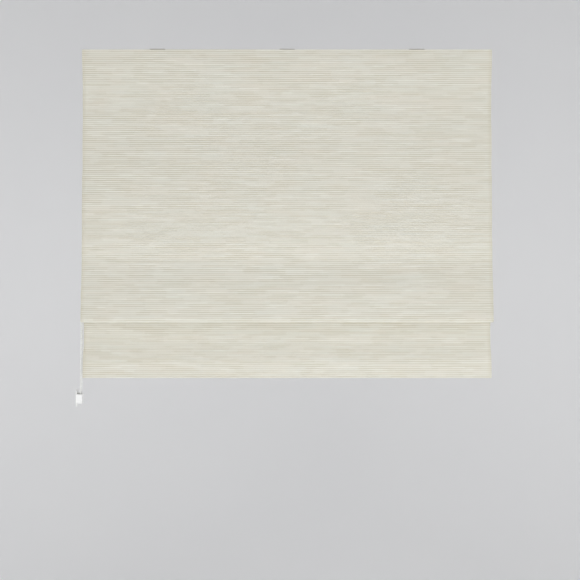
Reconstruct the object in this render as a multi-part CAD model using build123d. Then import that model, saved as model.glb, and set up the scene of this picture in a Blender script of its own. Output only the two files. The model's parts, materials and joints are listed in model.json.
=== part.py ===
from build123d import *
import math
import os

# Roman blind worked by a bead chain, shown partly raised: the lowest bay is folded forward once and hangs in
# front of the skirt. Millimetres, +Z up, +X to the right as seen from the room, -Y towards the room.
# The origin is on the lintel, at the middle of the middle bracket's two screw holes.

# ---- driving dimensions ----
hardware_width = 1200.0  # over the drive cover and the idle end cap
cloth_side_gap = 1.5  # each side edge of the cloth, short of the hardware
lining_side_gap = 32.0  # each side edge of the lining, inside the cloth's edge
face_thickness = 0.9
lining_thickness = 0.5
lining_gap = 0.3  # between the two cloths
seat_gap = 0.3  # between the cloth and what is sewn to it

cloth_top_z = -4.0
upper_rod_drop = 267.0  # below the cloth's top
middle_rod_drop = 615.0
rod_stack = 12.0  # the lower rod hangs this far under the middle one
fold_hang = 182.0  # from the middle rod to the fold's lowest edge
hem_drop = 960.0

rail_wall = 1.4
rail_top_z = -5.0
rail_front_y = -7.0
slot_width = 16.0
slot_inset = 16.0  # the slot's middle, behind the rail's front
shaft_setback = 2.0  # behind the rail's middle

hook_tape_thickness = 1.0
loop_tape_thickness = 1.2
tape_height = 22.0

bracket_inset = 220.0  # each outer bracket, from the hardware's end
bracket_width = 44.0
bracket_plate = 1.5
bracket_hole_r = 2.3
bracket_hole_spacing = 32.0
lever_reach = 24.0
lever_bite = 3.5  # how far the lever's nose reaches under the rail's back lip
lever_hub_r = 5.0
rivet_r = 2.0

shaft_side = 6.0
square_clearance = 0.05
run_clearance = 0.05  # radial, for what turns in a bore
cord_inset = 100.0  # each outer lift cord, from the hardware's end
spool_r = 8.0
spool_lip = 2.5
spool_length = 40.0
cheek = 3.0
cord_r = 0.7
nozzle_offset = 4.5  # behind the shaft
nozzle_wall = 0.9
nozzle_play = 1.6  # round the cord

bead_r = 2.25
bead_pitch = 6.0
bead_count = 12  # round one wheel
chain_gap = 0.3
chain_room = 0.5  # round the beads in the drive housing
wheel_rim = 0.45  # each side of the groove
drive_wall = 2.3
cover_thickness = 2.0
plug_length = 24.0
idle_flange = 4.0
recess_gap = 18.0  # from the hardware's end to the side of the recess
tensioner_drop = 59.5  # its wheel's axis, below the hem
tensioner_hole_r = 2.0
tensioner_hole_edge = 4.5
tensioner_base = 2.0
tensioner_reach = 10.5  # from its base to the chain's plane
tensioner_room = 1.3  # round the beads
pin_r = 2.0

rod_r = 2.0
rod_end_gap = 20.0  # each end of a tape, inside the cloth's edge: the rods clear the chain
rod_play = 0.1
pocket_wall = 1.3
tape_strip = 14.0
tape_thickness = 1.0
saddle_wall = 1.15
saddle_width = 10.0
ring_r = 6.0
ring_hole_r = 3.4
ring_thickness = 2.4
adjuster_r = 5.0
adjuster_length = 14.0

bar_height = 32.0
bar_thickness = 3.0
bar_end_gap = 8.0
sleeve_wall = 0.6
sleeve_clearance = 0.2

# ---- places worked out from them ----
left_x, right_x = -hardware_width / 2, hardware_width / 2
chain_r = bead_pitch * bead_count / (2 * math.pi)
chain_reach = chain_r + bead_r  # from a wheel's axis to the outside of the chain
wheel_width = 2 * (bead_r + chain_gap + wheel_rim)
wheel_gap = 2.0  # between the cover and the sprocket
drive_cavity = wheel_gap + wheel_width + 1.7
drive_width = cover_thickness + drive_cavity + drive_wall  # what stands outside the rail's end
rail_height = 2 * math.ceil(chain_reach + chain_room + 2.5)  # the drive's wheel sets the profile's size
rail_depth = 2 * math.ceil(chain_reach + chain_room + 3.5)
shaft_y = rail_front_y + rail_depth / 2 + shaft_setback
shaft_z = rail_top_z - rail_height / 2
slot_center_y = rail_front_y + slot_inset
bracket_x = (left_x + bracket_inset, 0.0, right_x - bracket_inset)
spool_x = (left_x + cord_inset, 0.0, right_x - cord_inset)
spool_flange_r = spool_r + spool_lip
journal_r = 0.9 * shaft_side  # the square's corners stay inside it
nozzle_y = shaft_y + nozzle_offset
nozzle_bore_r = cord_r + nozzle_play
nozzle_r = nozzle_bore_r + nozzle_wall
pocket_bore_r = rod_r + rod_play
pocket_r = pocket_bore_r + pocket_wall
cloth_half = hardware_width / 2 - cloth_side_gap
lining_half = cloth_half - lining_side_gap
rail_left_x = left_x + drive_width
rail_right_x = right_x - idle_flange
rail_back_y = rail_front_y + rail_depth
rail_floor_z = rail_top_z - rail_height
sprocket_x = left_x + cover_thickness + wheel_gap + wheel_width / 2
upper_rod_z = cloth_top_z - upper_rod_drop
middle_rod_z = cloth_top_z - middle_rod_drop
lower_rod_z = middle_rod_z - rod_stack
fold_z = middle_rod_z - fold_hang
hem_z = cloth_top_z - hem_drop
recess_x = left_x - recess_gap
tensioner_x = recess_x + tensioner_base + tensioner_reach
tensioner_z = hem_z - tensioner_drop
tensioner_floor = chain_reach + 0.3 + 1.5  # from its wheel's axis down to the guard's underside
tensioner_hole_spacing = 2 * math.ceil(tensioner_floor + 4)  # clear of the guard, to an even millimetre
lining_back = lining_gap + lining_thickness  # the offsets here are from the cloth's line
pocket_offset = lining_back + seat_gap + pocket_r
ring_neck = 0.6  # how far a ring reaches into its saddle
ring_offset = pocket_r + run_clearance + saddle_wall + ring_r - ring_neck  # from the pocket's axis
cloth_top_y = rail_front_y - hook_tape_thickness - loop_tape_thickness - seat_gap - lining_back
upper_rod_y = -3.0  # the cloth's line at each rod
middle_rod_y = -17.0
hem_y = -4.0
pocket_y = middle_rod_y + pocket_offset  # the middle and lower pockets hang one under the other
skirt_y = pocket_y + pocket_r - lining_back - seat_gap - tape_thickness
turn_r = 2.5  # of the cloth's line over the top of the skirt
fold_r = 10.0  # of the cloth's line round the foot of the fold
turn_z = lower_rod_z - pocket_r - seat_gap - lining_back - 0.1
hem_straight = 50.0  # the skirt's foot hangs straight over the bar
skirt_top_z = turn_z - 30
skirt_run = skirt_top_z - (hem_z + hem_straight)
bay_run = upper_rod_z - middle_rod_z

# The line of the cloth in section, as (y, z, fillet radius). The face fabric lies on its room side and the
# lining on its window side.
cloth_line = [
    (cloth_top_y, cloth_top_z, 0),
    (cloth_top_y, rail_floor_z - 5, 200),
    (-2.5, cloth_top_z - 0.55 * upper_rod_drop, 300),
    (upper_rod_y, upper_rod_z, 600),
    (-16, upper_rod_z - 0.49 * bay_run, 900),
    (-21, middle_rod_z + 60, 250),
    (middle_rod_y, middle_rod_z, 60),
    (-19.2, middle_rod_z - 20, 60),
    (-38, middle_rod_z - 0.47 * fold_hang, 150),
    (-52, fold_z + face_thickness, fold_r),
    (-28, fold_z + face_thickness, fold_r),
    (skirt_y - 2 * turn_r, middle_rod_z - 60, 80),
    (skirt_y - 2 * turn_r, turn_z, turn_r),
    (skirt_y, turn_z, turn_r),
    (skirt_y, skirt_top_z, 60),
    (11, skirt_top_z - 0.52 * skirt_run, 200),
    (7, skirt_top_z - 0.79 * skirt_run, 150),
    (hem_y, hem_z + hem_straight, 80),
    (hem_y, hem_z, 0),
]


def box(x, y, z):
    """A block from three (low, high) pairs."""
    size = [max(p) - min(p) for p in (x, y, z)]
    middle = [(p[0] + p[1]) / 2 for p in (x, y, z)]
    return Pos(*middle) * Box(*size)


def rod_x(r, x0, x1, y, z):
    """A cylinder along X."""
    return Pos((x0 + x1) / 2, y, z) * Rot(0, 90, 0) * Cylinder(r, abs(x1 - x0))


def rod_z(r, z0, z1, x, y):
    """A cylinder along Z."""
    return Pos(x, y, (z0 + z1) / 2) * Cylinder(r, abs(z1 - z0))


def along_x(face, half, middle=0.0):
    """A face drawn in (y, z), extruded both ways along X from the middle."""
    return Pos(middle, 0, 0) * extrude(Plane.YZ * face, half, both=True)


def save(name, *shapes):
    """One STEP file, of one solid or of a group of separate ones."""
    solids = [s for shape in shapes for s in shape.solids()]
    whole = solids[0] if len(solids) == 1 else Compound(children=solids)
    whole.label = name
    export_step(whole, f"parts/{name}.step")


def offset_line(line, gap):
    """The line moved sideways by gap, towards the window side of a line that runs down."""
    ends = [Vector(y, z) for y, z, _ in line]
    steps = [b - a for a, b in zip(ends, ends[1:])]
    runs = [step.normalized() for step in steps]
    sides = [Vector(-d.Y, d.X) for d in runs]
    moved = []
    for i, (point, (_, _, radius)) in enumerate(zip(ends, line)):
        before, after = sides[max(i - 1, 0)], sides[min(i, len(sides) - 1)]
        miter = (before + after) / (1 + before.dot(after))
        side = 0.0
        if 0 < i < len(runs):
            side = math.copysign(1, runs[i - 1].X * runs[i].Y - runs[i - 1].Y * runs[i].X)
            half_turn = math.radians(runs[i - 1].get_angle(runs[i])) / 2
            room = 0.499 * min(steps[i - 1].length, steps[i].length)
            radius = min(radius, room / math.tan(half_turn))
        moved.append((point + miter * gap, radius - side * gap))
    return moved


def filleted(moved):
    """A wire through the moved line's points, with an arc at each inner one."""
    points = [(p.X, p.Y) for p, _ in moved]
    return FilletPolyline(*points, radius=[r for _, r in moved[1:-1]])


def cloth(line, near, far):
    """The section of a cloth that fills the space between two offsets of the line."""
    a, b = filleted(offset_line(line, near)), filleted(offset_line(line, far))
    ends = [Line(a @ t, b @ t).edge() for t in (0, 1)]
    return make_face(Wire([*a.edges(), *b.edges(), *ends]))


def fabrics():
    """The face fabric, the lining, and the loop and hook tapes that hold them on the rail."""
    save("face_fabric", along_x(cloth(cloth_line, -face_thickness, 0), cloth_half))
    hem_turn = 25
    short = [*cloth_line[:-1], (hem_y, hem_z + hem_turn, 0)]
    save("lining", along_x(cloth(short, lining_gap, lining_back), lining_half))
    tape_z = (rail_top_z - 4 - tape_height, rail_top_z - 4)
    hook_y = rail_front_y - hook_tape_thickness
    loop_y = hook_y - loop_tape_thickness
    tape_x = (rail_left_x + 2, rail_right_x - 2)
    save("hook_tape", box(tape_x, (hook_y, rail_front_y), tape_z))
    save("loop_tape", box((-lining_half, lining_half), (loop_y, hook_y), tape_z))


def headrail():
    """The channel: floor, two walls and two inturned lips, with a hole in the floor for each cord nozzle."""
    rail_x = (rail_left_x, rail_right_x)
    profile = box(rail_x, (rail_front_y, rail_back_y), (rail_floor_z, rail_top_z))
    inside_y = (rail_front_y + rail_wall, rail_back_y - rail_wall)
    inside_z = (rail_floor_z + rail_wall, rail_top_z - rail_wall)
    profile -= box((left_x, right_x), inside_y, inside_z)
    slot_y = (slot_center_y - slot_width / 2, slot_center_y + slot_width / 2)
    profile -= box((left_x, right_x), slot_y, (rail_top_z - 2 * rail_wall, rail_top_z + 1))
    for x in spool_x:
        profile -= rod_z(nozzle_r + 0.1, rail_floor_z - 1, rail_floor_z + rail_wall + 1, x, nozzle_y)
    save("headrail", profile)


def bracket(number, x):
    """A bent plate screwed to the lintel, with its hook under the rail's front lip, and its locking lever."""
    front_lip_y = slot_center_y - slot_width / 2
    lip_under_z = rail_top_z - rail_wall - 0.3
    pivot_y = slot_center_y + 1.0
    plate_y = (rail_front_y + 0.5, slot_center_y + slot_width / 2 + 3)
    half = bracket_width / 2
    hook_back_y = front_lip_y + 0.6 + bracket_plate
    hook_half = bracket_hole_spacing / 2 - 6  # leaves room for the screws' heads
    hook_x = (x - hook_half, x + hook_half)
    hook_z = lip_under_z - bracket_plate
    plate = box((x - half, x + half), plate_y, (-bracket_plate, 0))
    plate += box(hook_x, (hook_back_y - bracket_plate, hook_back_y), (hook_z, -bracket_plate))
    plate += box(hook_x, (front_lip_y - 4.5, hook_back_y), (hook_z, lip_under_z))
    plate -= rod_z(rivet_r + 0.02, -2 * bracket_plate, 1, x, pivot_y)
    for side in (-1, 1):
        plate -= rod_z(bracket_hole_r, -2 * bracket_plate, 1, x + side * bracket_hole_spacing / 2, 0)
    save(f"fixing_bracket_{number}", plate)

    arm_z = (-4.3, -2.1)
    nose_z = (rail_top_z - rail_wall - 2.6, rail_top_z - rail_wall - 0.4)
    lever = rod_z(lever_hub_r, nose_z[0], arm_z[1], x, pivot_y)
    lever += box((x, x + lever_reach - 4), (pivot_y - 4, pivot_y + 4), arm_z)
    lever += rod_z(4, *arm_z, x + lever_reach - 4, pivot_y)
    nose_y = (pivot_y, slot_center_y + slot_width / 2 + lever_bite)
    lever += box((x - 3.5, x + 3.5), nose_y, nose_z)
    lever -= rod_z(rivet_r + run_clearance, nose_z[0] - 1, 0, x, pivot_y)
    save(f"bracket_lever_{number}", lever)
    head_z = nose_z[0] - 0.1
    return rod_z(rivet_r, head_z, 0, x, pivot_y) + rod_z(3.6, head_z - 1, head_z, x, pivot_y)


def brackets():
    rivets = [bracket(i + 1, x) for i, x in enumerate(bracket_x)]
    save("bracket_rivets", *rivets)


def chain_wheel(x, bore):
    """A grooved wheel on an X axis with a pocket for each bead."""
    flange_r = chain_r + 1.1
    groove = bead_r + chain_gap
    pocket_depth = 0.7
    section = Pos(0, (bore + flange_r) / 2) * Rectangle(wheel_width, flange_r - bore)
    section -= Pos(0, chain_r) * Circle(groove)
    section -= Pos(0, chain_r + groove) * Rectangle(2 * groove, 2 * groove)
    wheel = revolve(section, Axis.X)
    pocket = Pos(0, 0, chain_r) * Cylinder(bead_r - 0.3, 2 * (groove + pocket_depth))
    for i in range(bead_count):
        wheel -= Rot(360 * i / bead_count, 0, 0) * pocket
    return Pos(x, 0, 0) * wheel


def drive_end():
    """The left end: housing with its plug, cover with the fixed post, sprocket, wrap spring and hub."""
    axis = Pos(0, shaft_y, shaft_z)
    cavity_x = (left_x + cover_thickness, left_x + cover_thickness + drive_cavity)
    cavity_r = chain_reach + chain_room
    hub_r, spring_r, post_r = journal_r + 1.1, 5.0, 3.5
    outside_y = (rail_front_y, rail_back_y)
    outside_z = (rail_floor_z, rail_top_z)
    fit = 0.2
    housing = box((cavity_x[0], rail_left_x), outside_y, outside_z)
    plug_y = (rail_front_y + rail_wall + fit, rail_back_y - rail_wall - fit)
    plug_z = (rail_floor_z + rail_wall + fit, rail_top_z - rail_wall - fit)
    housing += box((rail_left_x, rail_left_x + plug_length), plug_y, plug_z)
    housing -= rod_x(cavity_r, *cavity_x, shaft_y, shaft_z)
    for side in (-1, 1):
        y = shaft_y + side * chain_r
        slot_y = (y - bead_r - chain_room, y + bead_r + chain_room)
        housing -= box(cavity_x, slot_y, (rail_floor_z - 1, shaft_z))
    housing -= rod_x(hub_r + run_clearance, cavity_x[1] - 1, rail_left_x + plug_length + 1, shaft_y, shaft_z)
    screw_inset = 3.6
    screw_ys = (rail_front_y + screw_inset, rail_back_y - screw_inset)
    screw_places = [(y, rail_top_z - screw_inset) for y in screw_ys]
    for y, z in screw_places:
        housing -= rod_x(1.05, cavity_x[0] - 1, cavity_x[0] + 8, y, z)
    save("drive_housing", housing)

    cover = box((left_x, left_x + cover_thickness), outside_y, outside_z)
    cover = fillet(cover.edges().filter_by(Axis.X), 3)
    cover = fillet(cover.faces().sort_by(Axis.X)[0].edges(), 0.8)
    sprocket_far_x = sprocket_x + wheel_width / 2
    cover += rod_x(post_r, left_x + cover_thickness, sprocket_far_x - 2.2, shaft_y, shaft_z)
    for y, z in screw_places:
        cover -= rod_x(1.05, left_x - 1, left_x + cover_thickness + 1, y, z)
        cover -= rod_x(2.0, left_x - 1, left_x + 1.2, y, z)
    save("drive_cover", cover)
    screws = []
    for y, z in screw_places:
        screw = rod_x(1.9, left_x, left_x + 1.2, y, z) + rod_x(1.0, left_x + 1.2, left_x + 9, y, z)
        screws.append(screw - box((left_x - 1, left_x + 0.5), (y - 2, y + 2), (z - 0.3, z + 0.3)))
    save("cover_screws", *screws)

    web_x = sprocket_far_x - 1.5
    sprocket = chain_wheel(sprocket_x, spring_r + 0.4)
    sprocket += rod_x(spring_r + 1, web_x, sprocket_far_x, 0, 0)
    sprocket -= rod_x(3.0, web_x - 1, sprocket_far_x + 1, 0, 0)
    save("sprocket", axis * sprocket)

    spring_x = (left_x + cover_thickness + 0.3, web_x - 0.6)
    spring = rod_x(spring_r, *spring_x, 0, 0) - rod_x(post_r + 0.05, spring_x[0] - 1, spring_x[1] + 1, 0, 0)
    save("brake_spring", axis * spring)

    hub_end_x = rail_left_x + plug_length
    hub = rod_x(3.0, web_x, sprocket_far_x, 0, 0) + rod_x(hub_r, sprocket_far_x, hub_end_x, 0, 0)
    bore = shaft_side + 2 * square_clearance
    hub -= box((rail_left_x + 4, hub_end_x + 1), (-bore / 2, bore / 2), (-bore / 2, bore / 2))
    save("drive_hub", axis * hub)


def idle_end():
    """The right end: cap plugged into the rail, and the hub that turns in it."""
    plug_x = (rail_right_x - 20, rail_right_x)
    fit = 0.2
    cap = box((rail_right_x, right_x), (rail_front_y, rail_back_y), (rail_floor_z, rail_top_z))
    cap = fillet(cap.edges().filter_by(Axis.X), 3)
    cap = fillet(cap.faces().sort_by(Axis.X)[-1].edges(), 0.8)
    plug_y = (rail_front_y + rail_wall + fit, rail_back_y - rail_wall - fit)
    cap += box(plug_x, plug_y, (rail_floor_z + rail_wall + fit, rail_top_z - rail_wall - fit))
    cap -= rod_x(journal_r + run_clearance, plug_x[0] - 1, rail_right_x - 2, shaft_y, shaft_z)
    save("idle_end_cap", cap)
    hub_x = (plug_x[0] - 6, rail_right_x - 2.4)
    hub = rod_x(journal_r, *hub_x, 0, 0) + rod_x(journal_r + 2, hub_x[0], plug_x[0] - 0.4, 0, 0)
    bore = shaft_side + 2 * square_clearance
    hub -= box((hub_x[0] - 1, hub_x[1] - 2), (-bore / 2, bore / 2), (-bore / 2, bore / 2))
    save("idle_hub", Pos(0, shaft_y, shaft_z) * hub)


def shaft():
    ends = (rail_left_x + 4.4, rail_right_x - 5)
    half = shaft_side / 2
    bar = box(ends, (shaft_y - half, shaft_y + half), (shaft_z - half, shaft_z + half))
    save("drive_shaft", fillet(bar.edges().filter_by(Axis.X), 0.6))


def spool(number, x):
    """A flanged spool keyed on the square shaft, a journal at each end, and the cradle that it turns in."""
    half = spool_length / 2
    flange = 2.0
    cheek_in = half + flange + 0.4
    drum = rod_x(spool_r, x - half, x + half, 0, 0)
    for side in (-1, 1):
        drum += rod_x(spool_flange_r, x + side * half, x + side * (half + flange), 0, 0)
        drum += rod_x(journal_r, x + side * (half + flange), x + side * (cheek_in + cheek + 1), 0, 0)
    bore = shaft_side / 2 + square_clearance
    drum -= box((x - 2 * half, x + 2 * half), (-bore, bore), (-bore, bore))
    save(f"spool_{number}", Pos(0, shaft_y, shaft_z) * drum)

    floor_z = rail_floor_z + rail_wall + 0.2
    cradle_half = spool_flange_r + 1.5
    width_y = (shaft_y - cradle_half, shaft_y + cradle_half)
    cradle = box((x - cheek_in - cheek, x + cheek_in + cheek), width_y, (floor_z, floor_z + 2))
    for side in (-1, 1):
        cheek_x = (x + side * cheek_in, x + side * (cheek_in + cheek))
        cradle += box(cheek_x, width_y, (floor_z, shaft_z))
        cradle += rod_x(journal_r + 3, *cheek_x, shaft_y, shaft_z)
    cradle -= rod_x(journal_r + run_clearance, x - 2 * half, x + 2 * half, shaft_y, shaft_z)
    cradle += rod_z(nozzle_r, rail_floor_z - 3, floor_z + 1, x, nozzle_y)
    cradle -= rod_z(nozzle_bore_r, rail_floor_z - 4, floor_z + 4, x, nozzle_y)
    save(f"spool_cradle_{number}", cradle)


def lift_cord(number, x):
    """From the window side of its spool, through the nozzle and the three rings, into its adjuster."""
    winding_r = spool_r + cord_r + seat_gap
    foot = Vector(nozzle_offset, rail_floor_z - 1 - shaft_z)  # the nozzle's mouth, from the shaft's axis
    leaving = math.atan2(foot.Y, foot.X) + math.acos(winding_r / foot.length)
    lean = ring_thickness / 2
    route = [
        (x, shaft_y + winding_r * math.cos(leaving), shaft_z + winding_r * math.sin(leaving)),
        (x, nozzle_y, rail_floor_z - 1),
        (x, upper_rod_y + pocket_offset + ring_offset, upper_rod_z + lean),
        (x, pocket_y + ring_offset, middle_rod_z + lean),
        (x, pocket_y + ring_offset, lower_rod_z - adjuster_length + 2),
    ]
    path = FilletPolyline(*route, radius=[30, 300, 60])
    start = Plane(origin=path @ 0, z_dir=path % 0)
    save(f"lift_cord_{number}", sweep(start * Circle(cord_r), path=path))


def chain():
    """The endless chain as a tube round both wheels, and the connector that closes it."""
    top = Vector(sprocket_x, shaft_y, shaft_z)
    foot = Vector(tensioner_x, shaft_y, tensioner_z)
    span = (top - foot).length
    along = (top - foot).normalized()
    lean = Plane(origin=foot, x_dir=(0, 1, 0), z_dir=Vector(0, 1, 0).cross(along))
    r = chain_r
    loop = [
        Line((r, 0), (r, span)),
        ThreePointArc((r, span), (0, span + r), (-r, span)),
        Line((-r, span), (-r, 0)),
        ThreePointArc((-r, 0), (0, -r), (r, 0)),
    ]
    path = Wire([(lean * part).edge() for part in loop])
    start = Plane(origin=path @ 0, z_dir=path % 0)
    save("bead_chain", sweep(start * Circle(bead_r), path=path))
    back = Plane(origin=foot + Vector(0, r, 0) + along * (span * 0.42), z_dir=along)
    connector = Cylinder(bead_r + 1.3, 15) - Cylinder(bead_r + run_clearance, 16)
    save("chain_connector", back * connector)


def tensioner():
    """Child-safety device screwed to the side of the recess: it holds the foot of the chain loop taut."""
    plate_half = tensioner_hole_spacing / 2 + tensioner_hole_edge
    inside_half = chain_reach + tensioner_room
    inside_y = (shaft_y - inside_half, shaft_y + inside_half)
    outside_y = (inside_y[0] - 2, inside_y[1] + 2)
    face_x = tensioner_x + wheel_width / 2 + 0.3
    cheek_thickness = 1.5
    body_z = (tensioner_z - tensioner_floor, tensioner_z + chain_r + 1.5)
    plate_z = (tensioner_z - plate_half, tensioner_z + plate_half)
    body = box((recess_x, recess_x + tensioner_base), outside_y, plate_z)
    body = fillet(body.edges().filter_by(Axis.X), 4)
    guard = box((recess_x, face_x + cheek_thickness), outside_y, body_z)
    guard = fillet(guard.edges().filter_by(Axis.X), 4)
    guard -= box((recess_x + tensioner_base, face_x), inside_y, (body_z[0] + 1.5, body_z[1] + 1))
    body += guard
    body += rod_x(4.5, recess_x, tensioner_x - wheel_width / 2 - 0.3, shaft_y, tensioner_z)
    body -= rod_x(pin_r, recess_x + 1, face_x + cheek_thickness + 1, shaft_y, tensioner_z)
    for side in (-1, 1):
        z = tensioner_z + side * tensioner_hole_spacing / 2
        body -= rod_x(tensioner_hole_r, recess_x - 1, recess_x + tensioner_base + 1, shaft_y, z)
    save("tensioner_body", body)
    wheel = chain_wheel(tensioner_x, pin_r + run_clearance)
    save("tensioner_wheel", Pos(0, shaft_y, tensioner_z) * wheel)
    save("tensioner_pin", rod_x(pin_r, recess_x + 1, face_x + cheek_thickness, shaft_y, tensioner_z))


def rod_line(name, line_y, rod_z_at, strip_up):
    """One rod line: tape with its pocket, rod, caps, and a ring with a saddle on the pocket at each cord."""
    axis_y = line_y + pocket_offset
    half = cloth_half - rod_end_gap
    axis = Location((0, axis_y, rod_z_at))
    strip_z = (0, tape_strip) if strip_up else (-tape_strip, 0)
    strip_y = (-pocket_r, -pocket_r + tape_thickness) if strip_up else (pocket_r - tape_thickness, pocket_r)
    tape = rod_x(pocket_r, -half, half, 0, 0) + box((-half, half), strip_y, strip_z)
    tape -= rod_x(pocket_bore_r, -half - 1, half + 1, 0, 0)
    save(f"rod_tape_{name}", axis * tape)
    save(f"rod_{name}", axis * rod_x(rod_r, -half - 3, half + 3, 0, 0))
    caps = []
    for side in (-1, 1):
        cap = rod_x(pocket_r, side * (half + 0.2), side * (half + 7), 0, 0)
        cap = fillet(cap.faces().sort_by(Axis.X)[0 if side < 0 else -1].edges(), 1.5)
        cap -= rod_x(rod_r + 0.03, side * half, side * (half + 3.2), 0, 0)
        caps.append(axis * cap)
    save(f"rod_caps_{name}", *caps)
    inner, outer = pocket_r + run_clearance, pocket_r + run_clearance + saddle_wall
    rings = []
    for x in spool_x:
        tube = rod_x(outer, x - saddle_width / 2, x + saddle_width / 2, 0, 0)
        ring = Pos(x, ring_offset, ring_thickness / 2) * Cylinder(ring_r, ring_thickness)
        neck_x = (x - ring_hole_r, x + ring_hole_r)
        ring += box(neck_x, (inner, ring_offset), (0, ring_thickness))
        ring += tube & box((x - 20, x + 20), (-1, 20), (0, 20))
        ring -= rod_x(inner, x - 20, x + 20, 0, 0)
        ring -= rod_z(ring_hole_r, -1, ring_thickness + 1, x, ring_offset)
        rings.append(axis * ring)
    save(f"cord_rings_{name}", *rings)


def adjuster(number, x):
    """A turned bead under the lowest ring, in which the lift cord ends."""
    y = pocket_y + ring_offset
    top = lower_rod_z - 0.3
    body = rod_z(adjuster_r, top - adjuster_length, top, x, y)
    body = fillet(body.edges().filter_by(GeomType.CIRCLE), 2.2)
    body -= rod_z(cord_r + run_clearance, lower_rod_z - adjuster_length + 1.5, top + 1, x, y)
    save(f"cord_adjuster_{number}", body)


def hem():
    """The sleeve behind the skirt's foot, the flat bar in it and the caps on the bar's ends."""
    front = hem_y + lining_back + seat_gap
    bar_y = (front + sleeve_wall + sleeve_clearance, front + sleeve_wall + sleeve_clearance + bar_thickness)
    foot = hem_z + 6
    bar_z = (foot, foot + bar_height)
    half = cloth_half - bar_end_gap
    pad = sleeve_wall + sleeve_clearance
    sleeve_x = (-half + 6, half - 6)
    sleeve = box(sleeve_x, (front, bar_y[1] + pad), (bar_z[0] - pad, bar_z[1] + pad))
    inside_y = (bar_y[0] - sleeve_clearance, bar_y[1] + sleeve_clearance)
    inside_z = (bar_z[0] - sleeve_clearance, bar_z[1] + sleeve_clearance)
    sleeve -= box((-half, half), inside_y, inside_z)
    save("hem_sleeve", sleeve)
    save("bottom_bar", box((-half, half), bar_y, bar_z))
    caps = []
    for side in (-1, 1):
        cap_y = (bar_y[0] - 0.7, bar_y[1] + 0.7)
        cap = box((side * (half - 5), side * (half + 2)), cap_y, (bar_z[0] - 0.7, bar_z[1] + 0.7))
        cap -= box((side * (half - 6), side * half), (bar_y[0], bar_y[1]), bar_z)
        caps.append(cap)
    save("bottom_bar_caps", *caps)


os.makedirs("parts", exist_ok=True)
fabrics()
headrail()
brackets()
drive_end()
idle_end()
shaft()
for index, place in enumerate(spool_x):
    spool(index + 1, place)
    lift_cord(index + 1, place)
    adjuster(index + 1, place)
chain()
tensioner()
rod_line("upper", upper_rod_y, upper_rod_z, True)
rod_line("middle", middle_rod_y, middle_rod_z, True)
rod_line("lower", pocket_y - pocket_offset, lower_rod_z, False)
hem()
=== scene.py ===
import json
import math

import bpy
import numpy as np
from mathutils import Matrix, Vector


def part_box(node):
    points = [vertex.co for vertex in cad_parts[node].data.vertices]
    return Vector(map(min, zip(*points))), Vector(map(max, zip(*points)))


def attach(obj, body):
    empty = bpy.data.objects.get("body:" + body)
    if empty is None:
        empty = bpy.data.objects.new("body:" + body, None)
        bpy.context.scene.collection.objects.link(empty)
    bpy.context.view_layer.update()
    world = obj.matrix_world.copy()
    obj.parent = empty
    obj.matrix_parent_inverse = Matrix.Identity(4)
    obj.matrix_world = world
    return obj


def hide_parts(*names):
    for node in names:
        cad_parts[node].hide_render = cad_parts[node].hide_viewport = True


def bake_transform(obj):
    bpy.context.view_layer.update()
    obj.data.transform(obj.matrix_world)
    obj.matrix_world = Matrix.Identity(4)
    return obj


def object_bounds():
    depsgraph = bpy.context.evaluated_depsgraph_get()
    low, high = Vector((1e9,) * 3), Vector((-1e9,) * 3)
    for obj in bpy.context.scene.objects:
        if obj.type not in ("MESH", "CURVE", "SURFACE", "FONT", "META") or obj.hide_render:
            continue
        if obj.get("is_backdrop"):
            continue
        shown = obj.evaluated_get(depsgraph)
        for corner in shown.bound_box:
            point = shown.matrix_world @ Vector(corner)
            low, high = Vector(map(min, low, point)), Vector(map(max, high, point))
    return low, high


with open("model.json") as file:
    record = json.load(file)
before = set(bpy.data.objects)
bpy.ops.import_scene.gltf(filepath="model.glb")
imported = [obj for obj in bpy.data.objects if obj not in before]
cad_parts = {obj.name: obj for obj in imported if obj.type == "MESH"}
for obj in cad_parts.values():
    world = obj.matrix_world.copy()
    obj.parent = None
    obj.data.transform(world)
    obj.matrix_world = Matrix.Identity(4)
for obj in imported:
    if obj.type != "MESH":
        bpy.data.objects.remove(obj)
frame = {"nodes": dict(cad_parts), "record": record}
cad_low, cad_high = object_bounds()

# A roman blind in metres, in the frame of its CAD model: +Z up, +X to the right, -Y towards the room, with
# the origin on the lintel. The cloths, cords, chain and stitching are built here. The hardware is the CAD's.

MM = 0.001
NODES = frame["nodes"]
RNG = np.random.default_rng(7)


# ---- sizes read from the frame ----
def middle_of(node):
    low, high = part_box(node)
    return (low + high) / 2


face_low, face_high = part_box("face_fabric")
lining_low, lining_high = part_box("lining")
rail_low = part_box("headrail")[0]
upper_rod, middle_rod, lower_rod = (middle_of(f"rod_{name}") for name in ("upper", "middle", "lower"))
pocket_r = (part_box("rod_tape_upper")[1].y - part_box("rod_tape_upper")[0].y) / 2
cord_xs = [middle_of(f"spool_{i}").x for i in (1, 2, 3)]
shaft = middle_of("drive_shaft")

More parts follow.
